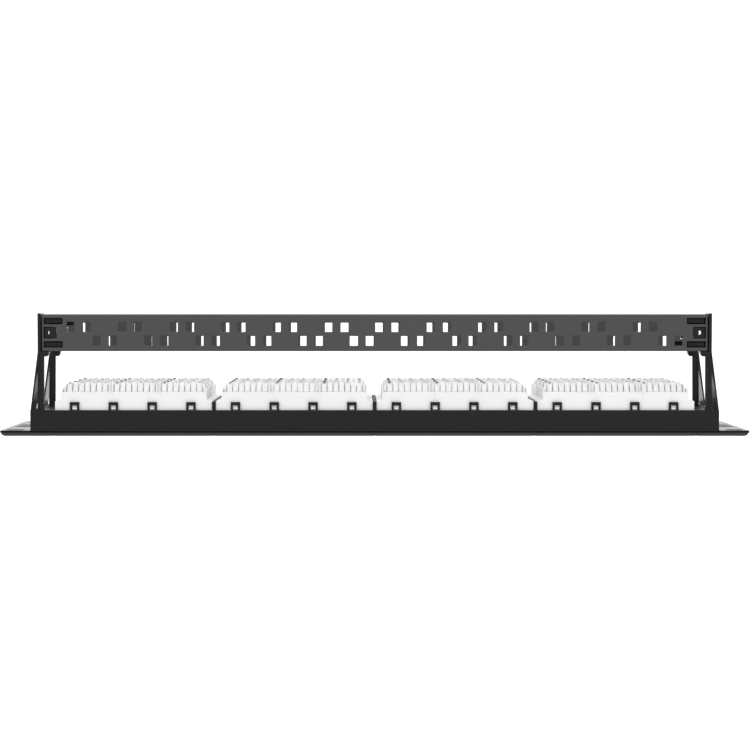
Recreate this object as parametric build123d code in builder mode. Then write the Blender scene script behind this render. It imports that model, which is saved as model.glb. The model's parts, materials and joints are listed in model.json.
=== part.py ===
"""Rack patch panel, two rack units: 48 jacks in 8 six-port modules, with two rear cable bars.

Frame: origin at the centre of the rack mounting plane (the rear face of the ears), +Z up,
front (the jacks) towards -Y, rear (the punch-down towers and cable bars) towards +Y. Millimetres.
"""
from build123d import *
import os

os.makedirs("parts", exist_ok=True)

# ---- rack panel, 19 inch wide and two rack units high ------------------------------------------
RACK_UNIT = 44.45
PANEL_W = 482.6
PANEL_H = 2 * RACK_UNIT - 0.8
PLATE_T = 1.5
PLATE_HALF_H = 41.6             # half height between the ears, behind the bezels
SLOT_SPACING_X = 465.1
SLOT_ROWS_Z = (38.1, 6.35)      # heights of the outer and inner slots, above and below the centre
SLOT_L, SLOT_W = 12.0, 6.8
SIDES = (-1, 1)

# ---- support frame behind the plate ------------------------------------------------------------
BODY_X = 222.0                  # half width
BODY_Z = 43.0                   # half height
BODY_D = 13.0                   # depth behind the plate
FLANGE_T = 1.3
SHELF_T = 2.0                   # shelf between the two rows of modules
POST_T = 1.9                    # upright between two modules
POST_END_Y = 18.5
END_WALL_T = 2.0                # rear wall of the hollow ends
POCKET_IN, POCKET_OUT = 208.2, 220.4
POCKET_HALF_H = 41.0
LIP_Y, LIP_W, LIP_H, LIP_DEPTH = -0.55, 1.25, 0.35, 0.9    # raised lip over the plate's edge
LIP_HALF_L = 221.4

# ---- modules: four across, two rows ------------------------------------------------------------
MODULE_PITCH = 103.7
MODULES_ACROSS = 4
CELL_W = MODULE_PITCH - POST_T
CELL_H = BODY_Z - FLANGE_T - SHELF_T / 2
CELL_Z = SHELF_T / 2 + CELL_H / 2
APERTURE_W, APERTURE_H = 101.7, 78.0
LOOP_XS = (-37.9, -12.9, 12.1, 37.1)
LOOP_W, LOOP_END_Y = 6.1, 18.2
LOOP_WINDOW_W, LOOP_WINDOW_END_Y = 3.5, 16.1

BEZEL_T = 2.1
BEZEL_W, BEZEL_H = MODULE_PITCH - 0.1, PANEL_H / 2 - 0.2
BEZEL_WINDOW_W, BEZEL_WINDOW_H = 98.8, 15.4
BEZEL_LEG_T, BEZEL_LEG_H = 0.9, 24.0
FACE_BEVEL = 0.6
NOTCH_W, NOTCH_DEPTH, NOTCH_H = 1.6, 1.2, 2.0    # prying notches where two faces meet
LABEL_W, LABEL_H, LABEL_T, LABEL_RISE = 94.0, 7.0, 0.5, 14.0

JACK_PITCH = 16.6
JACKS_PER_MODULE = 6
JACK_DROP = 1.0                 # the jack row sits this much below the cell's centre
JACK_BLOCK_W, JACK_BLOCK_H = 98.4, 15.0
JACK_FRONT_Y = -3.3
SOCKET_W, SOCKET_H, SOCKET_DEPTH = 11.8, 7.0, 12.2
KEY_W, KEY_H = 6.2, 1.8
WIRE_SLOT_W, WIRE_SLOT_H, WIRE_RISE = 8.6, 0.8, 2.95
CONTACT_PITCH, CONTACT_W, CONTACT_T = 1.02, 0.4, 0.3
CONTACTS = 8

BOARD_Y, BOARD_T = 10.9, 1.6
BOARD_W, BOARD_H = 98.0, 36.0
BOARD_HOLE_X, BOARD_HOLE_Z, BOARD_HOLE_R = 46.5, 15.5, 1.4

HOUSING_W, HOUSING_H = CELL_W - 0.5, CELL_H - 0.6
HOUSING_FRONT_Y, SHOULDER_Y, HOUSING_END_Y = 8.9, 19.0, 24.4
NECK_HALF_W = 47.0              # half width behind the shoulders
HOUSING_T = 1.3
NECK_WALL_T = 0.95
TOOTH_W, TOOTH_RISE = 2.9, 0.9
TOOTH_START_Y, TOOTH_END_Y = 13.6, 15.8
MARK_X, MARK_DEPTH = 15.3, 0.3  # shallow corner marks on the outer face

# ---- punch-down towers: two rows of three blocks on each module --------------------------------
WIRE_PITCH = 3.81
WIRES_PER_TOWER = 8
TOWER_PITCH = WIRES_PER_TOWER * WIRE_PITCH + 0.12
TOWER_W = WIRES_PER_TOWER * WIRE_PITCH - 0.1
TOWER_HALF_T, TIP_HALF_T = 4.0, 1.3
TOWER_ROW_Z = 11.0              # rows above and below the cell's centre
TOWER_TIP_Y, TAPER_START_Y = 30.5, 25.4
TOWER_CORNER_R = 4.0            # the outer corner of each end tower
WIRE_SLOT_BOTTOM_Y, WIRE_GAP = 24.7, 0.6
CHEEK_IN, CHEEK_END_Y = 46.05, 26.8   # end walls that stand beside the towers
LEAD_IN_W, LEAD_IN_DEPTH = 1.2, 0.7
CLIP_W, CLIP_T, CLIP_START_Y, CLIP_END_Y = 2.8, 0.4, 20.6, 27.6
CLIP_SLIT_W, CLIP_SLIT_DEPTH = 0.35, 5.0
CLIP_ROOM = 0.1

# ---- rear cable bars and their arms ------------------------------------------------------------
BAR_TOPS = {"upper": 42.0, "lower": 42.0 - RACK_UNIT}
BAR_SHIFTS = {"upper": 0.0, "lower": -1.2}     # the lower bar stands slightly nearer to the panel
BAR_HALF_L = 214.4
BAR_Y, BAR_W = 62.9, 23.8
BAR_T, BAR_LIP_T, BAR_LIP_H = 3.0, 1.6, 5.0
BAR_BEVEL = 0.7
TIE_SLOT_X, TIE_SLOT_Y, TIE_SLOT_R, TIE_SLOT_BEVEL = 5.4, 6.6, 0.5, 0.3
TIE_CENTRE_Y = 62.2
TIE_PAIR_PITCH, TIE_PAIR_GAP = 33.15, 10.44
TIE_PAIRS = 12
TIE_ROW_OFFSET = 4.45
END_WINDOW_X = (200.9, 213.2)
END_WINDOWS_Y = ((53.3, 57.5), (68.3, 72.5))
LATCH_POCKET_X = (204.7, 213.2)
LATCH_POCKET_Y = (59.1, 66.8)

ARM_H = 17.0
ARM_BASE_T = 2.0
ARM_WEB_H, FOOT_H, UPRIGHT_H = 8.0, 3.0, 13.0
ARM_FLANGE_T = 2.0              # top flange of the post
ARM_GROOVE_DEPTH = 0.5
ARM_END_Y = BAR_Y + BAR_W / 2 + 0.6
BAR_CLEARANCE = 0.3
UPRIGHT_IN, UPRIGHT_OUT = 215.1, 217.1
FOOT_Y = 47.6
FOOT_REAR_Y = BAR_Y - BAR_W / 2 - BAR_CLEARANCE
FOOT_IN, FOOT_CUT = 209.9, 1.2
TROUGH_T = 1.2                  # wall and floor in front of and under the bar's front lip
ARM_SHELF_T = 2.2
ARM_SHELF_IN = 200.4
CATCH_HOLE_X = (LATCH_POCKET_X[0] - 1.0, 207.6)
SIGHT_HOLE_R = 1.7
PLUG_X, PLUG_W, PLUG_H, PLUG_FRONT_Y = 215.0, 6.8, 10.0, 5.0
PLUG_DROP = 8.5                 # height of the plug's centre below the top of its arm
PLUG_ROOM = 0.1
LUG_INSET, LUG_DROP = 0.8, 1.6

LATCH_ROOT_X = 212.0
LATCH_T = 1.8
LATCH_X_IN = 205.1
LATCH_Y = (59.5, 66.4)
LATCH_HOLE_X, LATCH_HOLE_R = 209.2, 1.3
TRUNNION_R, TRUNNION_RUN, TRUNNION_REACH = 0.8, 0.05, 0.8

# ---- fasteners at the frame's ends -------------------------------------------------------------
END_X = 214.3
SCREW_ROWS_Z = 22.0
PEG_ROWS_Z = 36.0
BOSS_R, BOSS_HOLE_R, BOSS_HOLE_DEPTH = 3.2, 1.5, 9.5
SCREW_R, SCREW_HEAD_R, SCREW_LENGTH = 1.45, 2.75, 9.5
SCREW_HOLE_R, SCREW_SINK_R = 1.6, 2.9
RECESS_L, RECESS_W, RECESS_DEPTH = 3.0, 0.6, 0.9
PEG_R, PEG_HOLE_R, PEG_L = 1.9, 2.0, 2.5
TRIM_IN, TRIM_OUT = 2 * MODULE_PITCH + 0.05, 240.6
TRIM_END_SLOPE_X, TRIM_END_SLOPE_Y = 2.0, 1.2
TRIM_SLOT_L, TRIM_SLOT_W = SLOT_L + 0.4, SLOT_W + 0.4

MODULE_XS = [(i - (MODULES_ACROSS - 1) / 2) * MODULE_PITCH for i in range(MODULES_ACROSS)]
JACK_XS = [(i - (JACKS_PER_MODULE - 1) / 2) * JACK_PITCH for i in range(JACKS_PER_MODULE)]
WIRE_XS = [(i - (WIRES_PER_TOWER - 1) / 2) * WIRE_PITCH for i in range(WIRES_PER_TOWER)]
ROWS = {"upper": 1, "lower": -1}


def xz_plane(y):
    """The upright plane at this depth: extruding by a positive amount goes towards the front."""
    return Plane.XZ.offset(-y)


def corners(x, *heights):
    """The same place on both sides and above and below the centre."""
    return [(sx * x, sz * z) for z in heights for sx in SIDES for sz in SIDES]


def save(part, name):
    """Label a finished piece and write its file."""
    part.label = name
    export_step(part, f"parts/{name}.step")


def rectangle_between(x_range, y_range, mode=Mode.ADD):
    """A rectangle given by its limits, in the current sketch."""
    (x0, x1), (y0, y1) = x_range, y_range
    with Locations(((x0 + x1) / 2, (y0 + y1) / 2)):
        Rectangle(abs(x1 - x0), abs(y1 - y0), mode=mode)


def notches(xs, zs):
    """Outlines of the prying notches at these places, in the current sketch."""
    with Locations(*[(x, z) for x in xs for z in zs]):
        Rectangle(NOTCH_W, 2 * NOTCH_H)


# ---- plate, frame and trims --------------------------------------------------------------------
def make_mounting_plate():
    """Steel plate with slotted ears, one tall aperture for each column of modules."""
    with BuildPart() as plate:
        with BuildSketch(Plane.XZ):
            Rectangle(PANEL_W, PANEL_H)
            with Locations((0, PANEL_H / 2), (0, -PANEL_H / 2)):
                Rectangle(2 * BODY_X, PANEL_H - 2 * PLATE_HALF_H, mode=Mode.SUBTRACT)
            with Locations(*[(x, 0) for x in MODULE_XS]):
                Rectangle(APERTURE_W, APERTURE_H, mode=Mode.SUBTRACT)
            with Locations(*corners(SLOT_SPACING_X / 2, *SLOT_ROWS_Z)):
                SlotOverall(SLOT_L, SLOT_W, mode=Mode.SUBTRACT)
            with Locations(*corners(END_X, PEG_ROWS_Z)):
                Circle(PEG_HOLE_R, mode=Mode.SUBTRACT)
        extrude(amount=PLATE_T)
        with Locations(Plane.XZ.offset(PLATE_T)):
            with Locations(*corners(END_X, SCREW_ROWS_Z)):
                CounterSinkHole(SCREW_HOLE_R, SCREW_SINK_R)
    return plate.part


def make_support_frame():
    """Moulded frame that holds the modules, with hollow ends that take the arms."""
    cells = [(x, sz * CELL_Z) for x in MODULE_XS for sz in SIDES]
    posts = [(x * MODULE_PITCH, 0) for x in (-1, 0, 1)]
    pocket_x = (POCKET_IN + POCKET_OUT) / 2
    with BuildPart() as frame:
        with BuildSketch(xz_plane(BODY_D)):
            Rectangle(2 * BODY_X, 2 * BODY_Z)
            with Locations(*cells):
                Rectangle(CELL_W, CELL_H, mode=Mode.SUBTRACT)
        extrude(amount=BODY_D)
        with BuildSketch(Plane.XZ):
            with Locations((pocket_x, 0), (-pocket_x, 0)):
                Rectangle(POCKET_OUT - POCKET_IN, 2 * POCKET_HALF_H)
        extrude(amount=-(BODY_D - END_WALL_T), mode=Mode.SUBTRACT)
        with BuildSketch(xz_plane(POST_END_Y)):
            with Locations(*posts):
                Rectangle(POST_T, 2 * BODY_Z)
        extrude(amount=POST_END_Y - BODY_D)
        with BuildSketch(Plane.XZ):
            with Locations(*corners(END_X, SCREW_ROWS_Z)):
                Circle(BOSS_R)
        extrude(amount=-(BODY_D - END_WALL_T))
        with BuildSketch(Plane.XZ):
            with Locations(*corners(END_X, SCREW_ROWS_Z)):
                Circle(BOSS_HOLE_R)
        extrude(amount=-BOSS_HOLE_DEPTH, mode=Mode.SUBTRACT)
        with BuildSketch(xz_plane(BODY_D)):
            with Locations(*[(s * PLUG_X, top - PLUG_DROP) for s in SIDES for top in BAR_TOPS.values()]):
                Rectangle(PLUG_W + 2 * PLUG_ROOM, PLUG_H + 2 * PLUG_ROOM)
        extrude(amount=END_WALL_T, mode=Mode.SUBTRACT)
        for side in SIDES:
            outer = side * BODY_Z
            with BuildSketch(Plane.XY.offset(outer)):
                for x in MODULE_XS:
                    for loop_x in LOOP_XS:
                        centre = x + loop_x
                        rectangle_between((centre - LOOP_W / 2, centre + LOOP_W / 2), (BODY_D, LOOP_END_Y))
                        rectangle_between((centre - LOOP_WINDOW_W / 2, centre + LOOP_WINDOW_W / 2),
                                          (BODY_D, LOOP_WINDOW_END_Y), Mode.SUBTRACT)
            extrude(amount=-side * FLANGE_T)
            with BuildSketch(Plane.XY.offset(outer + side * LIP_H)):
                rectangle_between((-LIP_HALF_L, LIP_HALF_L), (LIP_Y, LIP_Y + LIP_W))
            extrude(amount=-side * (LIP_H + LIP_DEPTH))
    return frame.part


def make_ear_trim(side):
    """Moulded cover on the front of one ear, held by two pegs."""
    back_y, front_y = -PLATE_T, -PLATE_T - BEZEL_T
    outline = [(TRIM_IN, back_y), (TRIM_OUT, back_y), (TRIM_OUT, front_y + TRIM_END_SLOPE_Y),
               (TRIM_OUT - TRIM_END_SLOPE_X, front_y), (TRIM_IN, front_y)]
    with BuildPart() as trim:
        with BuildSketch(Plane.XY):
            Polygon(*[(side * x, y) for x, y in outline], align=None)
        extrude(amount=PANEL_H / 2, both=True)
        chamfer(trim.faces().sort_by(Axis.Y)[0].edges().filter_by(Axis.X), FACE_BEVEL)
        with BuildSketch(Plane.XZ.offset(PLATE_T + BEZEL_T)):
            notches([side * TRIM_IN], (PANEL_H / 2, -PANEL_H / 2))
        extrude(amount=-NOTCH_DEPTH, mode=Mode.SUBTRACT)
        with BuildSketch(Plane.XZ.offset(PLATE_T)):
            with Locations(*[(side * SLOT_SPACING_X / 2, s * z) for s in SIDES for z in SLOT_ROWS_Z]):
                SlotOverall(TRIM_SLOT_L, TRIM_SLOT_W)
        extrude(amount=BEZEL_T, mode=Mode.SUBTRACT)
        with BuildSketch(Plane.XZ.offset(PLATE_T)):
            with Locations((side * END_X, PEG_ROWS_Z), (side * END_X, -PEG_ROWS_Z)):
                Circle(PEG_R)
        extrude(amount=-(PLATE_T + PEG_L))
    return trim.part


def make_screws():
    """Countersunk screws that hold the frame to the plate."""
    with BuildPart(mode=Mode.PRIVATE) as screw:
        with BuildSketch(Plane.YZ):
            with BuildLine():
                Polyline((-PLATE_T, 0), (-PLATE_T, SCREW_HEAD_R), (SCREW_HEAD_R - SCREW_R - PLATE_T, SCREW_R),
                         (SCREW_LENGTH - PLATE_T, SCREW_R), (SCREW_LENGTH - PLATE_T, 0), close=True)
            make_face()
        revolve(axis=Axis.Y)
        with BuildSketch(Plane.XZ.offset(PLATE_T)):
            Rectangle(RECESS_L, RECESS_W)
            Rectangle(RECESS_W, RECESS_L)
        extrude(amount=-RECESS_DEPTH, mode=Mode.SUBTRACT)
    with BuildPart() as screws:
        with Locations(*[(x, 0, z) for x, z in corners(END_X, SCREW_ROWS_Z)]):
            add(screw.part)
    return screws.part


# ---- the six-port module -----------------------------------------------------------------------
def make_bezel(x, row):
    """Front face of a module, with one wide window, a label recess and two clip legs."""
    face_z = row * PANEL_H / 4
    window_z = row * CELL_Z - JACK_DROP
    leg_x = BEZEL_WINDOW_W / 2 + BEZEL_LEG_T / 2 + 0.05
    with BuildPart() as bezel:
        with BuildSketch(Plane.XZ.offset(PLATE_T)):
            with Locations((x, face_z)):
                Rectangle(BEZEL_W, BEZEL_H)
        extrude(amount=BEZEL_T)
        chamfer(bezel.faces().sort_by(Axis.Y)[0].edges().filter_by(Axis.X), FACE_BEVEL)
        with BuildSketch(Plane.XZ.offset(PLATE_T + BEZEL_T)):
            notches((x - MODULE_PITCH / 2, x + MODULE_PITCH / 2), [row * PANEL_H / 2])
        extrude(amount=-NOTCH_DEPTH, mode=Mode.SUBTRACT)
        with BuildSketch(Plane.XZ.offset(PLATE_T)):
            with Locations((x, window_z)):
                Rectangle(BEZEL_WINDOW_W, BEZEL_WINDOW_H)
        extrude(amount=BEZEL_T, mode=Mode.SUBTRACT)
        with BuildSketch(Plane.XZ.offset(PLATE_T + BEZEL_T)):
            with Locations((x, window_z + LABEL_RISE)):
                Rectangle(LABEL_W + 0.4, LABEL_H + 0.4)
        extrude(amount=-LABEL_T, mode=Mode.SUBTRACT)
        with BuildSketch(Plane.XZ.offset(PLATE_T)):
            with Locations((x - leg_x, row * CELL_Z), (x + leg_x, row * CELL_Z)):
                Rectangle(BEZEL_LEG_T, BEZEL_LEG_H)
        extrude(amount=-(PLATE_T + HOUSING_FRONT_Y))
    return bezel.part


def make_label_strips():
    """Blank writing strips, one in each bezel's recess."""
    places = [(x, row * CELL_Z - JACK_DROP + LABEL_RISE) for x in MODULE_XS for row in ROWS.values()]
    with BuildPart() as strips:
        with BuildSketch(Plane.XZ.offset(PLATE_T + BEZEL_T - LABEL_T)):
            with Locations(*places):
                Rectangle(LABEL_W, LABEL_H)
        extrude(amount=LABEL_T - 0.1)
    return strips.part


def make_jack_block(x, row):
    """Six sockets in one moulding, keyed at the bottom, with a slot for the contacts behind."""
    z = row * CELL_Z - JACK_DROP
    key_z = z - SOCKET_H / 2 - KEY_H / 2
    with BuildPart() as block:
        with BuildSketch(xz_plane(BOARD_Y)):
            with Locations((x, z)):
                Rectangle(JACK_BLOCK_W, JACK_BLOCK_H)
        extrude(amount=BOARD_Y - JACK_FRONT_Y)
        with BuildSketch(xz_plane(JACK_FRONT_Y)):
            with Locations(*[(x + jack_x, z) for jack_x in JACK_XS]):
                Rectangle(SOCKET_W, SOCKET_H)
            with Locations(*[(x + jack_x, key_z) for jack_x in JACK_XS]):
                Rectangle(KEY_W, KEY_H)
        extrude(amount=-SOCKET_DEPTH, mode=Mode.SUBTRACT)
        with BuildSketch(xz_plane(BOARD_Y)):
            with Locations(*[(x + jack_x, z + WIRE_RISE) for jack_x in JACK_XS]):
                Rectangle(WIRE_SLOT_W, WIRE_SLOT_H)
        extrude(amount=BOARD_Y - JACK_FRONT_Y - SOCKET_DEPTH, mode=Mode.SUBTRACT)
    return block.part


def make_jack_contacts(row):
    """Sprung contact wires: back along the socket's roof to the board, free end folded down."""
    z = row * CELL_Z - JACK_DROP
    with BuildPart(mode=Mode.PRIVATE) as contact:
        with BuildSketch(Plane.YZ):
            with BuildLine():
                wire = Polyline((BOARD_Y, WIRE_RISE), (0.6, WIRE_RISE), (0.1, 2.55), (0.5, 2.1), (5.6, 1.05))
            trace(wire, line_width=CONTACT_T)
        extrude(amount=CONTACT_W / 2, both=True)
    contact_xs = [(i - (CONTACTS - 1) / 2) * CONTACT_PITCH for i in range(CONTACTS)]
    places = [Pos(x + jack_x + contact_x, 0, z)
              for x in MODULE_XS for jack_x in JACK_XS for contact_x in contact_xs]
    return Compound(children=[place * contact.part.solid() for place in places])


def make_circuit_board(x, row):
    """Board that joins the jacks to the punch-down clips."""
    with BuildPart() as board:
        with BuildSketch(xz_plane(BOARD_Y + BOARD_T)):
            with Locations((x, row * CELL_Z)):
                Rectangle(BOARD_W, BOARD_H)
                with Locations(*corners(BOARD_HOLE_X, BOARD_HOLE_Z)):
                    Circle(BOARD_HOLE_R, mode=Mode.SUBTRACT)
        extrude(amount=BOARD_T)
    return board.part


def housing_outline(x, inset=0, neck_inset=0):
    """Plan outline of the housing: full width to the shoulders, then a narrower neck."""
    wide, neck = HOUSING_W / 2 - inset, NECK_HALF_W - neck_inset
    shoulder, end = SHOULDER_Y - inset, HOUSING_END_Y - inset
    left = [(x - wide, HOUSING_FRONT_Y), (x - wide, shoulder), (x - neck, shoulder), (x - neck, end)]
    right = [(2 * x - px, y) for px, y in reversed(left)]
    Polygon(*left, *right, align=None)


def make_housing(x, row):
    """Rear housing: a shell over the board, open to the front, with windows for the towers."""
    z = row * CELL_Z
    outer = z + row * HOUSING_H / 2
    with BuildPart() as housing:
        with BuildSketch(Plane.XY.offset(z)):
            housing_outline(x)
        extrude(amount=HOUSING_H / 2, both=True)
        rear_corners = housing.edges().filter_by(Axis.Z).group_by(Axis.Y)[1:]
        fillet([edge for group in rear_corners for edge in group], 0.8)
        with BuildSketch(Plane.XY.offset(z)):
            housing_outline(x, HOUSING_T, NECK_WALL_T)
        extrude(amount=HOUSING_H / 2 - HOUSING_T, both=True, mode=Mode.SUBTRACT)
        with BuildSketch(xz_plane(HOUSING_END_Y)):
            with Locations((x, z + TOWER_ROW_Z), (x, z - TOWER_ROW_Z)):
                Rectangle(3 * TOWER_PITCH + 0.2, 2 * TOWER_HALF_T + 0.3)
        extrude(amount=HOUSING_T, mode=Mode.SUBTRACT)
        with BuildSketch(Plane.XY.offset(z)):
            for s in SIDES:
                rectangle_between((x + s * CHEEK_IN, x + s * NECK_HALF_W), (HOUSING_END_Y - HOUSING_T, CHEEK_END_Y))
        extrude(amount=HOUSING_H / 2 - 2, both=True)
        for loop_x in LOOP_XS:
            with BuildSketch(Plane.YZ.offset(x + loop_x - TOOTH_W / 2)):
                with BuildLine():
                    Polyline((TOOTH_START_Y, outer), (TOOTH_START_Y, outer + row * TOOTH_RISE),
                             (TOOTH_START_Y + 0.7, outer + row * TOOTH_RISE), (TOOTH_END_Y, outer), close=True)
                make_face()
            extrude(amount=TOOTH_W)
        with BuildSketch(Plane.XY.offset(outer)):
            for mark_x in (-MARK_X, MARK_X):
                rectangle_between((x + mark_x - 2.2, x + mark_x + 2.2), (23.4, 23.9))
                rectangle_between((x + mark_x + 1.8, x + mark_x + 2.2), (20.2, 23.9))
        extrude(amount=-row * MARK_DEPTH, mode=Mode.SUBTRACT)
    return housing.part


def make_tower(end=0):
    """One punch-down block: a comb of teeth with a wire gap and a clip pocket at every contact.

    An end tower has its outer corner rounded, at -X or +X.
    """
    with BuildPart(mode=Mode.PRIVATE) as tower:
        with BuildSketch(Plane.XY):
            rectangle_between((-TOWER_W / 2, TOWER_W / 2), (BOARD_Y + BOARD_T, TOWER_TIP_Y))
            for x in WIRE_XS:
                rectangle_between((x - WIRE_GAP / 2, x + WIRE_GAP / 2),
                                  (WIRE_SLOT_BOTTOM_Y, TOWER_TIP_Y), Mode.SUBTRACT)
                with BuildLine():
                    Polyline((x - LEAD_IN_W / 2, TOWER_TIP_Y), (x, TOWER_TIP_Y - LEAD_IN_DEPTH),
                             (x + LEAD_IN_W / 2, TOWER_TIP_Y), close=True)
                make_face(mode=Mode.SUBTRACT)
        extrude(amount=TOWER_HALF_T, both=True)
        with BuildSketch(Plane.YZ):
            with BuildLine():
                Polyline((BOARD_Y + BOARD_T, -TOWER_HALF_T), (TAPER_START_Y, -TOWER_HALF_T),
                         (TOWER_TIP_Y, -TIP_HALF_T), (TOWER_TIP_Y, TIP_HALF_T),
                         (TAPER_START_Y, TOWER_HALF_T), (BOARD_Y + BOARD_T, TOWER_HALF_T), close=True)
            make_face()
        extrude(amount=TOWER_W, both=True, mode=Mode.INTERSECT)
        with BuildSketch(Plane.XY):
            for x in WIRE_XS:
                half = CLIP_W / 2 + CLIP_ROOM
                rectangle_between((x - half, x + half), (CLIP_START_Y - CLIP_ROOM, CLIP_END_Y + CLIP_ROOM))
        extrude(amount=CLIP_T / 2 + CLIP_ROOM, both=True, mode=Mode.SUBTRACT)
        if end:
            corner_x, corner_y = end * (TOWER_W / 2 - TOWER_CORNER_R), TOWER_TIP_Y - TOWER_CORNER_R
            with BuildSketch(Plane.XY):
                rectangle_between((corner_x, end * (TOWER_W / 2 + 1)), (corner_y, TOWER_TIP_Y + 1))
                with Locations((corner_x, corner_y)):
                    Circle(TOWER_CORNER_R, mode=Mode.SUBTRACT)
            extrude(amount=TOWER_HALF_T + 1, both=True, mode=Mode.SUBTRACT)
    return tower.part


def tower_places(x, row):
    """Centres of a module's six towers, as (column, x, z), with columns -1, 0 and 1."""
    return [(column, x + column * TOWER_PITCH, row * CELL_Z + s * TOWER_ROW_Z) for column in (-1, 0, 1) for s in SIDES]


def make_idc_towers(x, row, towers):
    """The six punch-down blocks of one module."""
    return Compound(children=[Pos(tx, 0, tz) * towers[column].solid() for column, tx, tz in tower_places(x, row)])


def make_idc_clips(row):
    """Slit metal clips that cut through the wire's insulation, eight in each tower."""
    with BuildPart(mode=Mode.PRIVATE) as clip:
        with BuildSketch(Plane.XY):
            rectangle_between((-CLIP_W / 2, CLIP_W / 2), (CLIP_START_Y, CLIP_END_Y))
            rectangle_between((-CLIP_SLIT_W / 2, CLIP_SLIT_W / 2),
                              (CLIP_END_Y - CLIP_SLIT_DEPTH, CLIP_END_Y), Mode.SUBTRACT)
        extrude(amount=CLIP_T / 2, both=True)
    places = [Pos(tx + wire_x, 0, tz) for x in MODULE_XS for _, tx, tz in tower_places(x, row)
              for wire_x in WIRE_XS]
    return Compound(children=[place * clip.part.solid() for place in places])


# ---- cable bars, arms and latches --------------------------------------------------------------
def tie_slot_places():
    """Centres of the tie slots: the front row is the rear row turned half a turn."""
    rear = [((n + 0.25) * TIE_PAIR_PITCH + s * TIE_PAIR_GAP / 2, TIE_ROW_OFFSET)
            for n in range(-TIE_PAIRS // 2, TIE_PAIRS // 2) for s in SIDES]
    return [(x, TIE_CENTRE_Y + y) for x, y in rear] + [(-x, TIE_CENTRE_Y - y) for x, y in rear]


def make_cable_bar(top):
    """Channel-shaped bar with two staggered rows of tie slots and a latch pocket at each end."""
    slots = tie_slot_places()
    trunnion_y = (LATCH_POCKET_Y[0] - TRUNNION_REACH - 0.2, LATCH_POCKET_Y[1] + TRUNNION_REACH + 0.2)
    with BuildPart() as bar:
        with BuildSketch(Plane.XY.offset(top)):
            with Locations((0, BAR_Y)):
                Rectangle(2 * BAR_HALF_L, BAR_W)
        extrude(amount=-BAR_T)
        chamfer(bar.faces().sort_by(Axis.Z)[-1].edges(), BAR_BEVEL)
        with BuildSketch(Plane.XY.offset(top - BAR_T)):
            for s in SIDES:
                with Locations((0, BAR_Y + s * (BAR_W - BAR_LIP_T) / 2)):
                    Rectangle(2 * BAR_HALF_L, BAR_LIP_T)
        extrude(amount=-BAR_LIP_H)
        with BuildSketch(Plane.XY.offset(top)):
            with Locations(*slots):
                RectangleRounded(TIE_SLOT_X, TIE_SLOT_Y, TIE_SLOT_R)
            for s in SIDES:
                for y_range in END_WINDOWS_Y:
                    rectangle_between([s * x for x in END_WINDOW_X], y_range)
                rectangle_between([s * x for x in LATCH_POCKET_X], LATCH_POCKET_Y)
        extrude(amount=-BAR_T, mode=Mode.SUBTRACT)
        with BuildSketch(Plane.XY.offset(top)):
            with Locations(*slots):
                RectangleRounded(TIE_SLOT_X + 2 * TIE_SLOT_BEVEL, TIE_SLOT_Y + 2 * TIE_SLOT_BEVEL,
                                 TIE_SLOT_R + TIE_SLOT_BEVEL)
        extrude(amount=-TIE_SLOT_BEVEL, taper=45, mode=Mode.SUBTRACT)
        with BuildSketch(xz_plane(trunnion_y[1])):
            for s in SIDES:
                with Locations((s * LATCH_ROOT_X, top - BAR_T / 2)):
                    Circle(TRUNNION_R + TRUNNION_RUN)
        extrude(amount=trunnion_y[1] - trunnion_y[0], mode=Mode.SUBTRACT)
    return bar.part


def make_bar_latch(side, top):
    """Sprung tongue in the bar's end pocket, on trunnions at its outer end."""
    middle = top - BAR_T / 2
    width = LATCH_Y[1] - LATCH_Y[0]
    trunnion_l = LATCH_POCKET_Y[1] - LATCH_POCKET_Y[0] + 2 * TRUNNION_REACH
    with BuildPart() as latch:
        with BuildSketch(xz_plane(LATCH_Y[1])):
            rectangle_between((side * LATCH_X_IN, side * LATCH_ROOT_X), (middle - LATCH_T / 2, middle + LATCH_T / 2))
            with Locations((side * LATCH_ROOT_X, middle)):
                Circle(LATCH_T / 2)
            rectangle_between((side * LATCH_X_IN, side * (LATCH_X_IN + 1.4)), (middle - 2.6, middle))
        extrude(amount=width)
        with BuildSketch(xz_plane((LATCH_POCKET_Y[1] + LATCH_POCKET_Y[0] + trunnion_l) / 2)):
            with Locations((side * LATCH_ROOT_X, middle)):
                Circle(TRUNNION_R)
        extrude(amount=trunnion_l)
        with BuildSketch(Plane.XY.offset(top)):
            with Locations((side * LATCH_HOLE_X, (LATCH_Y[0] + LATCH_Y[1]) / 2)):
                Circle(LATCH_HOLE_R)
        extrude(amount=-BAR_T, mode=Mode.SUBTRACT)
    return latch.part


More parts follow.
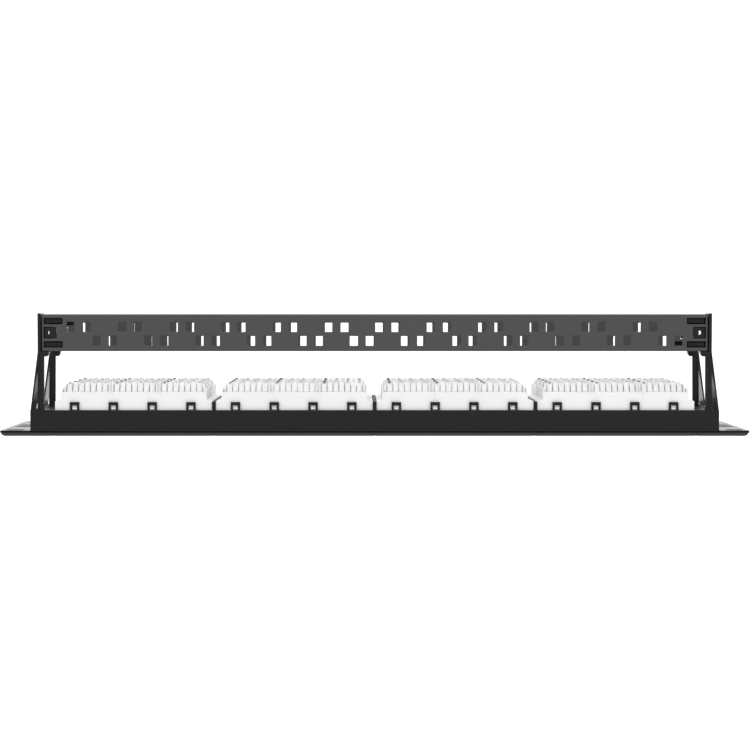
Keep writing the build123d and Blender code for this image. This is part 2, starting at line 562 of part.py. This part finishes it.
def make_arm(side, top, shift):
    """Bracket that carries one end of a bar: angle-section post, thin brace, foot, upright and shelf."""
    def plan(*points):
        Polygon(*[(side * x, y) for x, y in points], align=None)

    base_y = BODY_D + ARM_BASE_T
    shelf_top = top - BAR_T - BAR_CLEARANCE
    foot_y, foot_rear_y, end_y = FOOT_Y + shift, FOOT_REAR_Y + shift, ARM_END_Y + shift
    bar_y = BAR_Y + shift
    inner_y = (bar_y - BAR_W / 2 + BAR_LIP_T + BAR_CLEARANCE, bar_y + BAR_W / 2 - BAR_LIP_T - BAR_CLEARANCE)
    pocket_y = (LATCH_POCKET_Y[0] + shift, LATCH_POCKET_Y[1] + shift)
    trough_z = top - BAR_T - BAR_LIP_H - BAR_CLEARANCE
    with BuildPart() as arm:
        with BuildSketch(Plane.XY.offset(top)):
            plan((BODY_X - 1.0, BODY_D), (BODY_X, BODY_D), (UPRIGHT_OUT, foot_rear_y), (UPRIGHT_OUT - 0.9, foot_rear_y - 1.2))
        extrude(amount=-ARM_H)
        with BuildSketch(Plane.XY.offset(top)):
            rectangle_between((side * UPRIGHT_IN, side * UPRIGHT_OUT), (foot_rear_y - 3, end_y))
            plan((213.3, BODY_D), (217.6, BODY_D), (217.6, base_y), (213.3, base_y))
        extrude(amount=-UPRIGHT_H)
        with BuildSketch(Plane.XY.offset(top)):
            plan((216.6, BODY_D), (217.6, BODY_D), (216.9, foot_rear_y), (215.8, foot_rear_y))
        extrude(amount=-ARM_WEB_H)
        with BuildSketch(Plane.XY.offset(top)):
            plan((FOOT_IN, foot_rear_y), (FOOT_IN, foot_y + FOOT_CUT), (FOOT_IN + FOOT_CUT, foot_y),
                 (216.3, foot_y), (UPRIGHT_OUT, foot_rear_y))
        extrude(amount=-FOOT_H)
        with BuildSketch(Plane.XY.offset(top)):
            rectangle_between((side * (FOOT_IN + 0.8), side * UPRIGHT_OUT), (foot_rear_y - TROUGH_T, foot_rear_y))
        extrude(amount=trough_z - TROUGH_T - top)
        with BuildSketch(Plane.XY.offset(trough_z)):
            rectangle_between((side * (FOOT_IN + 0.8), side * UPRIGHT_OUT), (foot_rear_y - TROUGH_T, inner_y[0] + 1))
        extrude(amount=-TROUGH_T)
        with BuildSketch(Plane.XY.offset(top)):
            plan((213.3, BODY_D), (217.6, BODY_D), (216.9, foot_rear_y), (212.9, foot_rear_y))
        extrude(amount=-ARM_FLANGE_T)
        with BuildSketch(Plane.XY.offset(top)):
            plan((215.2, BODY_D + 0.8), (216.8, BODY_D + 0.8), (215.9, foot_y - 0.6), (214.5, foot_y - 0.6))
        extrude(amount=-ARM_GROOVE_DEPTH, mode=Mode.SUBTRACT)
        with BuildSketch(Plane.XY.offset(shelf_top)):
            rectangle_between((side * ARM_SHELF_IN, side * (UPRIGHT_IN + 0.5)), inner_y)
            rectangle_between([side * x for x in CATCH_HOLE_X],
                              (pocket_y[0] - 0.5, pocket_y[1] + 0.5), Mode.SUBTRACT)
            with Locations((side * LATCH_HOLE_X, sum(pocket_y) / 2)):
                Circle(SIGHT_HOLE_R, mode=Mode.SUBTRACT)
        extrude(amount=-ARM_SHELF_T)
        with BuildSketch(Plane.XY.offset(shelf_top - ARM_SHELF_T)):
            for y in (inner_y[0] + 0.8, inner_y[1] - 0.8):
                rectangle_between((side * (ARM_SHELF_IN + 4), side * (UPRIGHT_IN + 0.5)), (y - 0.7, y + 0.7))
        extrude(amount=-(UPRIGHT_H - BAR_T - BAR_CLEARANCE - ARM_SHELF_T))
        with BuildSketch(Plane.XY.offset(shelf_top)):
            for y0, y1 in END_WINDOWS_Y:
                rectangle_between([side * (END_WINDOW_X[0] + LUG_INSET), side * (END_WINDOW_X[1] - LUG_INSET)],
                                  (y0 + shift + LUG_INSET, y1 + shift - LUG_INSET))
        extrude(amount=BAR_T + BAR_CLEARANCE - LUG_DROP)
        with BuildSketch(xz_plane(BODY_D)):
            with Locations((side * PLUG_X, top - PLUG_DROP)):
                Rectangle(PLUG_W, PLUG_H)
        extrude(amount=BODY_D - PLUG_FRONT_Y)
    return arm.part


# ---- make and write every piece ----------------------------------------------------------------
save(make_mounting_plate(), "mounting_plate")
save(make_support_frame(), "support_frame")
save(make_screws(), "frame_screws")
save(make_label_strips(), "label_strips")
save(make_ear_trim(-1), "left_ear_trim")
save(make_ear_trim(1), "right_ear_trim")

idc_towers = {column: make_tower(column) for column in (-1, 0, 1)}
for row_name, row_sign in ROWS.items():
    for number, module_x in enumerate(MODULE_XS, start=1):
        name = f"{row_name}_{number}"
        save(make_bezel(module_x, row_sign), f"bezel_{name}")
        save(make_jack_block(module_x, row_sign), f"jack_block_{name}")
        save(make_circuit_board(module_x, row_sign), f"circuit_board_{name}")
        save(make_housing(module_x, row_sign), f"housing_{name}")
        save(make_idc_towers(module_x, row_sign, idc_towers), f"idc_towers_{name}")
    save(make_jack_contacts(row_sign), f"jack_contacts_{row_name}")
    save(make_idc_clips(row_sign), f"idc_clips_{row_name}")
    bar_top, bar_shift = BAR_TOPS[row_name], BAR_SHIFTS[row_name]
    save(Pos(0, bar_shift, 0) * make_cable_bar(bar_top), f"cable_bar_{row_name}")
    for side_name, side_sign in (("left", -1), ("right", 1)):
        save(make_arm(side_sign, bar_top, bar_shift), f"bar_arm_{row_name}_{side_name}")
        save(Pos(0, bar_shift, 0) * make_bar_latch(side_sign, bar_top), f"bar_latch_{row_name}_{side_name}")
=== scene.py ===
"""Looks of the two-unit, 48-port rack patch panel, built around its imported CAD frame. Metres."""
import json
import math

import bmesh
import bpy
from mathutils import Matrix, Vector


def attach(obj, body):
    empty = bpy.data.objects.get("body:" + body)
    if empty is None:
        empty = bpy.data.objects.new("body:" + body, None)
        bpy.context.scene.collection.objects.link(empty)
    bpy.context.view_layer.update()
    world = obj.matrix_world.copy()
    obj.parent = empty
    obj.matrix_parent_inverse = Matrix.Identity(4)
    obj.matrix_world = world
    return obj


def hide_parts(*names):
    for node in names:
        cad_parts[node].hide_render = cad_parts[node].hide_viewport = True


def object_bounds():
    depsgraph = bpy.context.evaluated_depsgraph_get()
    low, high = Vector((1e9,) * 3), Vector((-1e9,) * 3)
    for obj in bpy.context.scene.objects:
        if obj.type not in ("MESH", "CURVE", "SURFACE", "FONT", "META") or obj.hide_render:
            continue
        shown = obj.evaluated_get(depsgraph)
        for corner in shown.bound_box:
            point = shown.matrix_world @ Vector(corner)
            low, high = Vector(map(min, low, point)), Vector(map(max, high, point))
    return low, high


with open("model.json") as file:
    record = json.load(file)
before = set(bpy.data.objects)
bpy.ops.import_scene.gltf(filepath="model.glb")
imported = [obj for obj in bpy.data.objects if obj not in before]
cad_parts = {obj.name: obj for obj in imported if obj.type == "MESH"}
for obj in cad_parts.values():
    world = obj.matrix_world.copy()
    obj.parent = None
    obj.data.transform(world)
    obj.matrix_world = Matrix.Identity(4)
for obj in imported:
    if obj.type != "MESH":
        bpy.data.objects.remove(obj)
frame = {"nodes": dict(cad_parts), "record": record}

MM = 0.001
cad_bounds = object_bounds()
nodes = frame["nodes"]
record = frame["record"]
slot_of = {part["node"]: part["material_slot"] for part in record["subparts"]}
body_of = {node: body for body, members in record["behaviour"]["bodies"].items() for node in members}
ROWS = ("upper", "lower")

# ---- view, light and floor ---------------------------------------------------------------------
CAMERA_PLACE = (-12 * MM, 84.5 * MM, 1202 * MM)
CAMERA_TILT = math.radians(-2.41)
CAMERA_LENS, CAMERA_SENSOR = 86.5, 36     # millimetres, as the camera takes them
CAMERA_REACH = 20
CAMERA_SHIFT = 0.0252           # the panel is centred in the frame, 12 mm to one side of the lens
FLOOR_DROP = 60 * MM
FLOOR_SIZE = 24.0
FLOOR_GLOW, FLOOR_ROUGHNESS = 0.5, 0.8
FLOOR_TONES = (0.86, 0.86, 0.86), (0.88, 0.88, 0.88)
FLOOR_TONE_SIZE = 0.4
WORLD_STRENGTH = 0.75
SOFTBOXES = (                   # name, place, point it faces, side, watts
    ("key", (-1.0, 1.1, 1.4), (0, 0, 0), 1.4, 5),
    ("fill", (1.2, -0.9, 1.4), (0, 0, 0), 1.4, 5),
    ("front", (0.2, -1.7, 0.9), (0, 0, 0), 1.4, 4),
    ("rear", (0, 1.6, 0.6), (0, 0.05, 0), 1.6, 12),
)


def make_camera():
    """Camera above the panel, looking almost straight down with the rear at the top."""
    data = bpy.data.cameras.new("camera")
    data.lens = CAMERA_LENS
    data.sensor_width = CAMERA_SENSOR
    data.shift_x = CAMERA_SHIFT
    data.clip_end = CAMERA_REACH
    camera = bpy.data.objects.new("camera", data)
    camera.location = CAMERA_PLACE
    camera.rotation_euler = (CAMERA_TILT, 0, 0)
    bpy.context.scene.collection.objects.link(camera)
    bpy.context.scene.camera = camera


def make_softbox(name, place, target, size, watts):
    """A square area light that faces a point."""
    data = bpy.data.lights.new(name, "AREA")
    data.energy = watts
    data.size = size
    light = bpy.data.objects.new(name, data)
    light.location = place
    light.rotation_euler = (Vector(target) - Vector(place)).to_track_quat("-Z", "Y").to_euler()
    bpy.context.scene.collection.objects.link(light)


def make_world():
    """Even pale surroundings."""
    world = bpy.data.worlds.new("studio")
    world.use_nodes = True
    background = world.node_tree.nodes["Background"]
    background.inputs["Color"].default_value = (1, 1, 1, 1)
    background.inputs["Strength"].default_value = WORLD_STRENGTH
    bpy.context.scene.world = world


def make_floor(material):
    """Plain pale floor just under the panel."""
    mesh = bpy.data.meshes.new("floor")
    half = FLOOR_SIZE / 2
    z = cad_bounds[0][2] - FLOOR_DROP
    corners = [(-half, -half, z), (half, -half, z), (half, half, z), (-half, half, z)]
    mesh.from_pydata(corners, [], [(0, 1, 2, 3)])
    floor = bpy.data.objects.new("floor", mesh)
    floor.data.materials.append(material)
    bpy.context.scene.collection.objects.link(floor)


# ---- materials ---------------------------------------------------------------------------------
FLOW_SIZE = 60 * MM             # slow change of tone across a moulding
RUB_SIZE = 3 * MM               # patches of wear along a moulding's edges
SHEEN_SIZE = 0.9 * MM           # patches of slightly different roughness
SHEEN = 0.03                    # how far the roughness strays to either side
RUB_SHOWS = {"low": 0.25, "high": 1.0, "start": 0.4, "end": 0.65}
WORN_TONE, WORN_SHARE = 0.8, 0.1
COOLNESS = 1.01                 # how much more blue a dark tone has
GLOW_REACH = 2.5 * MM           # how far light spreads inside a glowing plastic
COAT_TONE_SIZE, COAT_RUB_SIZE = 50 * MM, 2 * MM
COAT_SHEEN_SIZE = 1.2 * MM
COAT_SHADE = 0.04
COAT_RUB_SHOWS = {"low": 0.0, "high": 0.3, "start": 0.5, "end": 0.75}
PEEL_SIZE, PEEL_DEPTH = 0.9 * MM, 0.0015 * MM
BARE_STEEL = (0.15, 0.15, 0.15)
DRAWN_SIZE, DRAWN_DEPTH = 0.15 * MM, 0.004 * MM
DRAWN_DARKER = 0.85
DRAWN_SMOOTHER, DRAWN_ROUGHER = 0.06, 0.1
TRACK_PITCH, TRACK_DEPTH = 4.5 * MM, 0.03 * MM
TRACK_WANDER = 1.2
TRACK_SHOWS = {"start": 0.6, "end": 0.68}
BOARD_SHEEN_SIZE = 3 * MM
BOARD_ROUGHNESS = 0.25, 0.35
BOARD_COLOUR, TRACK_COLOUR = (0.008, 0.09, 0.035), (0.02, 0.2, 0.08)
FIBRE_SIZE, FIBRE_DEPTH = 0.3 * MM, 0.004 * MM
FIBRE_STRETCH = (1, 1, 3)
PAPER_TONES = (0.74, 0.74, 0.72), (0.8, 0.8, 0.79)
PAPER_ROUGHNESS = 0.6, 0.75


class Nodes:
    """A material's node tree, with short calls for the nodes used here."""

    def __init__(self, name):
        self.material = bpy.data.materials.new(name)
        self.material.use_nodes = True
        self.tree = self.material.node_tree
        self.shader = self.tree.nodes["Principled BSDF"]
        self.place = self.tree.nodes.new("ShaderNodeTexCoord").outputs["Object"]

    def link(self, output, socket):
        """Join an output to an input."""
        self.tree.links.new(output, socket)

    def noise(self, size, detail=2.0, stretch=None):
        """Noise whose grains are about this many metres across, stretched along an axis if asked."""
        place = self.place
        if stretch:
            mapping = self.tree.nodes.new("ShaderNodeMapping")
            mapping.inputs["Scale"].default_value = stretch
            self.link(place, mapping.inputs["Vector"])
            place = mapping.outputs["Vector"]
        noise = self.tree.nodes.new("ShaderNodeTexNoise")
        noise.inputs["Scale"].default_value = 1 / size
        noise.inputs["Detail"].default_value = detail
        self.link(place, noise.inputs["Vector"])
        return noise.outputs["Fac"]

    def spread(self, value, low, high, start=0.3, end=0.7):
        """Stretch a 0..1 value so that start..end becomes low..high."""
        node = self.tree.nodes.new("ShaderNodeMapRange")
        node.inputs["From Min"].default_value = start
        node.inputs["From Max"].default_value = end
        node.inputs["To Min"].default_value = low
        node.inputs["To Max"].default_value = high
        self.link(value, node.inputs["Value"])
        return node.outputs["Result"]

    def times(self, a, b):
        """The product of two sockets."""
        node = self.tree.nodes.new("ShaderNodeMath")
        node.operation = "MULTIPLY"
        self.link(a, node.inputs[0])
        self.link(b, node.inputs[1])
        return node.outputs["Value"]

    def mix(self, share, a, b):
        """Colour a where share is 0 and b where it is 1; each is a colour or a socket."""
        node = self.tree.nodes.new("ShaderNodeMix")
        node.data_type = "RGBA"
        self.link(share, node.inputs[0])
        for value, socket in ((a, node.inputs[6]), (b, node.inputs[7])):
            if isinstance(value, tuple):
                socket.default_value = (*value, 1)
            else:
                self.link(value, socket)
        return node.outputs[2]

    def edge(self):
        """1 on the rounded edges that soften() made, 0 elsewhere."""
        node = self.tree.nodes.new("ShaderNodeAttribute")
        node.attribute_name = "edge"
        return node.outputs["Fac"]

    def bump(self, height, depth):
        """Raise the surface by up to depth where height is 1."""
        node = self.tree.nodes.new("ShaderNodeBump")
        node.inputs["Distance"].default_value = depth
        self.link(height, node.inputs["Height"])
        self.link(node.outputs["Normal"], self.shader.inputs["Normal"])


def grey(value):
    """A dark tone, very slightly blue."""
    return (value, value, value * COOLNESS)


def scaled(colour, factor):
    """A colour made lighter or darker."""
    return tuple(channel * factor for channel in colour)


def plastic(name, colour, roughness, grain=0.35 * MM, depth=0.008 * MM, worn=0.2, shade=0.03, specular=0.5,
            glow=0.0):
    """Moulded plastic: spark-eroded grain, faint flow tone, slightly paler edges.

    glow is the share of light that spreads inside it.
    """
    n = Nodes(name)
    flow = n.spread(n.noise(FLOW_SIZE), 0, 1)
    body = n.mix(flow, scaled(colour, 1 - shade), scaled(colour, 1 + shade))
    rubbed = n.times(n.edge(), n.spread(n.noise(RUB_SIZE, detail=3), **RUB_SHOWS))
    lighter = tuple(channel + (WORN_TONE - channel) * worn * WORN_SHARE for channel in colour)
    n.link(n.mix(rubbed, body, lighter), n.shader.inputs["Base Color"])
    sheen = n.noise(SHEEN_SIZE, detail=3)
    n.link(n.spread(sheen, roughness - SHEEN, roughness + SHEEN), n.shader.inputs["Roughness"])
    n.shader.inputs["Specular IOR Level"].default_value = specular
    n.shader.inputs["Subsurface Weight"].default_value = glow
    n.shader.inputs["Subsurface Radius"].default_value = (1, 1, 1)
    n.shader.inputs["Subsurface Scale"].default_value = GLOW_REACH
    n.bump(n.noise(grain), depth)
    return n.material


def coated_steel(name, colour, roughness, specular):
    """Powder-coated sheet steel: fine orange peel, worn at the edges."""
    n = Nodes(name)
    tone = n.spread(n.noise(COAT_TONE_SIZE), 0, 1)
    body = n.mix(tone, scaled(colour, 1 - COAT_SHADE), scaled(colour, 1 + COAT_SHADE))
    rubbed = n.times(n.edge(), n.spread(n.noise(COAT_RUB_SIZE, detail=4), **COAT_RUB_SHOWS))
    n.link(n.mix(rubbed, body, BARE_STEEL), n.shader.inputs["Base Color"])
    sheen = n.noise(COAT_SHEEN_SIZE)
    n.link(n.spread(sheen, roughness - SHEEN, roughness + SHEEN), n.shader.inputs["Roughness"])
    n.shader.inputs["Specular IOR Level"].default_value = specular
    n.bump(n.noise(PEEL_SIZE, detail=1), PEEL_DEPTH)
    return n.material


def plated(name, colour, roughness, along=(1, 1, 1)):
    """Plated metal with faint drawing lines."""
    n = Nodes(name)
    lines = n.noise(DRAWN_SIZE, stretch=along)
    n.link(n.mix(n.spread(lines, 0, 1), scaled(colour, DRAWN_DARKER), colour), n.shader.inputs["Base Color"])
    sheen = n.spread(lines, roughness - DRAWN_SMOOTHER, roughness + DRAWN_ROUGHER)
    n.link(sheen, n.shader.inputs["Roughness"])
    n.shader.inputs["Metallic"].default_value = 1.0
    n.bump(lines, DRAWN_DEPTH)
    return n.material


def circuit(name):
    """Solder mask over copper: darker board, slightly raised paler tracks."""
    n = Nodes(name)
    bands = n.tree.nodes.new("ShaderNodeTexWave")
    bands.bands_direction = "X"
    bands.inputs["Scale"].default_value = 1 / TRACK_PITCH
    bands.inputs["Distortion"].default_value = TRACK_WANDER
    n.link(n.place, bands.inputs["Vector"])
    track = n.spread(bands.outputs["Fac"], 0, 1, **TRACK_SHOWS)
    n.link(n.mix(track, BOARD_COLOUR, TRACK_COLOUR), n.shader.inputs["Base Color"])
    n.link(n.spread(n.noise(BOARD_SHEEN_SIZE), *BOARD_ROUGHNESS), n.shader.inputs["Roughness"])
    n.bump(track, TRACK_DEPTH)
    return n.material


def paper(name):
    """Writing strip: matt white with a faint fibre."""
    n = Nodes(name)
    fibre = n.noise(FIBRE_SIZE, detail=4, stretch=FIBRE_STRETCH)
    n.link(n.mix(n.spread(fibre, 0, 1), *PAPER_TONES), n.shader.inputs["Base Color"])
    n.link(n.spread(fibre, *PAPER_ROUGHNESS), n.shader.inputs["Roughness"])
    n.bump(fibre, FIBRE_DEPTH)
    return n.material


def floor_material():
    """Pale seamless studio floor."""
    n = Nodes("floor_pale")
    tone = n.spread(n.noise(FLOOR_TONE_SIZE), 0, 1)
    n.link(n.mix(tone, *FLOOR_TONES), n.shader.inputs["Base Color"])
    n.shader.inputs["Roughness"].default_value = FLOOR_ROUGHNESS
    n.shader.inputs["Emission Color"].default_value = (1, 1, 1, 1)
    n.shader.inputs["Emission Strength"].default_value = FLOOR_GLOW
    return n.material


MATERIALS = {
    "plate_black": coated_steel("plate_black", grey(0.012), 0.22, specular=0.1),
    "frame_black": plastic("frame_black", grey(0.0178), 0.45, depth=0.002 * MM, shade=0.01, specular=0.1),
    "trim_black": plastic("trim_black", grey(0.046), 0.4, specular=0.15),
    "jack_black": plastic("jack_black", grey(0.025), 0.4, specular=0.4),
    "bar_black": plastic("bar_black", grey(0.073), 0.5, grain=0.5 * MM, depth=0.012 * MM, specular=0.15),
    "arm_black": plastic("arm_black", grey(0.0135), 0.24, depth=0.003 * MM, specular=0.2),
    "board_green": circuit("board_green"),
    "housing_white": plastic("housing_white", (0.87, 0.87, 0.86), 0.42, worn=0.0, shade=0.008, specular=0.4),
    "tower_white": plastic("tower_white", (0.91, 0.91, 0.905), 0.4, worn=0.0, shade=0.008, specular=0.3,
                           glow=0.8),
    "clip_metal": plated("clip_metal", (0.62, 0.61, 0.58), 0.32),
    "contact_gold": plated("contact_gold", (0.86, 0.62, 0.24), 0.22, along=(1, 0.1, 1)),
    "label_white": paper("label_white"),
    "screw_steel": plated("screw_steel", (0.55, 0.55, 0.54), 0.3),
}

# ---- the moulded and folded pieces, with real edge rounding ------------------------------------
SHARP = math.radians(32)         # edges that turn by more than this are rounded
WELD = 0.002 * MM
EVEN_ANGLE = math.radians(50)    # shading runs smoothly over turns below this
ROUND_STEPS = 2


def soften(node, width):
    """A copy of a CAD node with its outer edges rounded, which stands for the node."""
    mesh = bpy.data.meshes.new(f"{node}_rounded")
    bm = bmesh.new()
    bm.from_mesh(nodes[node].data)
    bmesh.ops.remove_doubles(bm, verts=bm.verts, dist=WELD)
    layer = bm.faces.layers.float.new("edge")
    outer = [e for e in bm.edges if e.is_manifold and e.is_convex and e.calc_face_angle() > SHARP]
    made = bmesh.ops.bevel(bm, geom=outer, offset=width, segments=ROUND_STEPS, profile=0.5,
                           affect="EDGES", clamp_overlap=False)
    for face in made["faces"]:
        face[layer] = 1.0
    bm.to_mesh(mesh)
    bm.free()
    mesh.shade_smooth()
    mesh.set_sharp_from_angle(angle=EVEN_ANGLE)
    piece = bpy.data.objects.new(f"{node}_rounded", mesh)
    bpy.context.scene.collection.objects.link(piece)
    weighted = piece.modifiers.new("even_normals", "WEIGHTED_NORMAL")
    weighted.keep_sharp = True
    dress(piece, slot_of[node])
    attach(piece, body_of[node])
    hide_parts(node)


def dress(piece, slot):
    """Give a piece the material of a slot."""
    piece.data.materials.clear()
    piece.data.materials.append(MATERIALS[slot])


# widths of the rounded edges in millimetres, by a word in the node's name
EDGE_WIDTHS = {
    "bezel": 0.12, "ear_trim": 0.12, "housing": 0.2, "idc_towers": 0.1, "jack_block": 0.15,
    "support_frame": 0.1, "cable_bar": 0.1, "bar_arm": 0.12, "bar_latch": 0.1, "mounting_plate": 0.08,
}


# ---- print on the front and colour marks on the towers -----------------------------------------
MODULE_PITCH, JACK_PITCH = 103.7 * MM, 16.6 * MM
JACKS, COLUMNS, TOWERS = 6, 4, 3
FACE_Y = -3.6 * MM
NUMBER_Z = {"upper": 8.7 * MM, "lower": -34.0 * MM}
NUMBER_SIZE, PRINT_T = 3.2 * MM, 0.02 * MM
TOWER_PITCH, TOWER_ROW_Z, CELL_Z = 30.6 * MM, 11.0 * MM, 21.35 * MM
PAIR_PITCH = 7.62 * MM
TIP_Y, TIP_HALF_T, TAPER = 30.5 * MM, 1.3 * MM, 0.53
MARK_W, MARK_PROUD = 1.5 * MM, 0.03 * MM
PAIRS = (("blue", (0.06, 0.08, 0.14), 0.6 * MM), ("orange", (0.8, 0.27, 0.04), 0.0),
         ("green", (0.04, 0.3, 0.1), 0.0), ("brown", (0.22, 0.09, 0.03), 0.0))
CORNERS = ((-1, -1), (1, -1), (1, 1), (-1, 1))
BLOCK_FACES = ((3, 2, 1, 0), (4, 5, 6, 7), (0, 1, 5, 4), (1, 2, 6, 5), (2, 3, 7, 6), (3, 0, 4, 7))
FILM_SIZE, FILM_DEPTH = 0.25 * MM, 0.003 * MM
INK_ROUGHNESS = 0.5, 0.65
INK_DARKER = 0.9


def ink(name, colour):
    """Printed ink: flat colour with a faint uneven film."""
    n = Nodes(name)
    film = n.noise(FILM_SIZE, detail=3)
    n.link(n.mix(n.spread(film, 0, 1), scaled(colour, INK_DARKER), colour), n.shader.inputs["Base Color"])
    n.link(n.spread(film, *INK_ROUGHNESS), n.shader.inputs["Roughness"])
    n.bump(film, FILM_DEPTH)
    return n.material


def fixed_piece(name, mesh, material):
    """A detail that goes with the panel."""
    mesh.materials.clear()
    mesh.materials.append(material)
    piece = bpy.data.objects.new(name, mesh)
    bpy.context.scene.collection.objects.link(piece)
    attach(piece, "panel")


def columns(count, pitch):
    """Centres of a row of this many, about zero."""
    return [(i - (count - 1) / 2) * pitch for i in range(count)]


def print_numbers():
    """Port numbers 1 to 48 under the jacks."""
    bm = bmesh.new()
    number = 0
    for row in ROWS:
        for module_x in columns(COLUMNS, MODULE_PITCH):
            for jack_x in columns(JACKS, JACK_PITCH):
                number += 1
                text = bpy.data.curves.new("number", "FONT")
                text.body = str(number)
                text.size = NUMBER_SIZE
                text.align_x = "CENTER"
                text.extrude = PRINT_T
                holder = bpy.data.objects.new("number", text)
                mesh = bpy.data.meshes.new_from_object(holder)
                mesh.transform(Matrix.Translation((module_x + jack_x, FACE_Y, NUMBER_Z[row]))
                               @ Matrix.Rotation(math.radians(90), 4, "X"))
                bm.from_mesh(mesh)
                bpy.data.objects.remove(holder)
                bpy.data.meshes.remove(mesh)
                bpy.data.curves.remove(text)
    printed = bpy.data.meshes.new("port_numbers")
    bm.to_mesh(printed)
    bm.free()
    fixed_piece("port_numbers", printed, ink("ink_white", (0.75, 0.75, 0.74)))


def mark_block(bm, x, z, reach):
    """One painted tip: a thin block over a tower's tip that reaches down its two slopes."""
    ends = ((TIP_Y - reach, TIP_HALF_T + reach * TAPER + MARK_PROUD),
            (TIP_Y + MARK_PROUD, TIP_HALF_T + MARK_PROUD))
    verts = [bm.verts.new((x + sx * MARK_W / 2, y, z + sz * half)) for y, half in ends for sx, sz in CORNERS]
    for face in BLOCK_FACES:
        bm.faces.new([verts[i] for i in face])


def mark_tips():
    """A painted tip between the two wires of each pair on every tower."""
    for (colour_name, colour, reach), pair_x in zip(PAIRS, columns(len(PAIRS), PAIR_PITCH)):
        bm = bmesh.new()
        for module_x in columns(COLUMNS, MODULE_PITCH):
            for tower_x in columns(TOWERS, TOWER_PITCH):
                for row_z in (-CELL_Z, CELL_Z):
                    for tower_z in (row_z - TOWER_ROW_Z, row_z + TOWER_ROW_Z):
                        mark_block(bm, module_x + tower_x + pair_x, tower_z, reach)
        bmesh.ops.recalc_face_normals(bm, faces=bm.faces)
        mesh = bpy.data.meshes.new(f"marks_{colour_name}")
        bm.to_mesh(mesh)
        bm.free()
        fixed_piece(f"marks_{colour_name}", mesh, ink(f"ink_{colour_name}", colour))


make_camera()
make_world()
for softbox in SOFTBOXES:
    make_softbox(*softbox)
make_floor(floor_material())

for node in sorted(nodes):
    widths = [width for word, width in EDGE_WIDTHS.items() if word in node]
    if widths:
        soften(node, widths[0] * MM)
    else:
        dress(nodes[node], slot_of[node])

print_numbers()
mark_tips()

bpy.context.scene.view_settings.view_transform = "Standard"
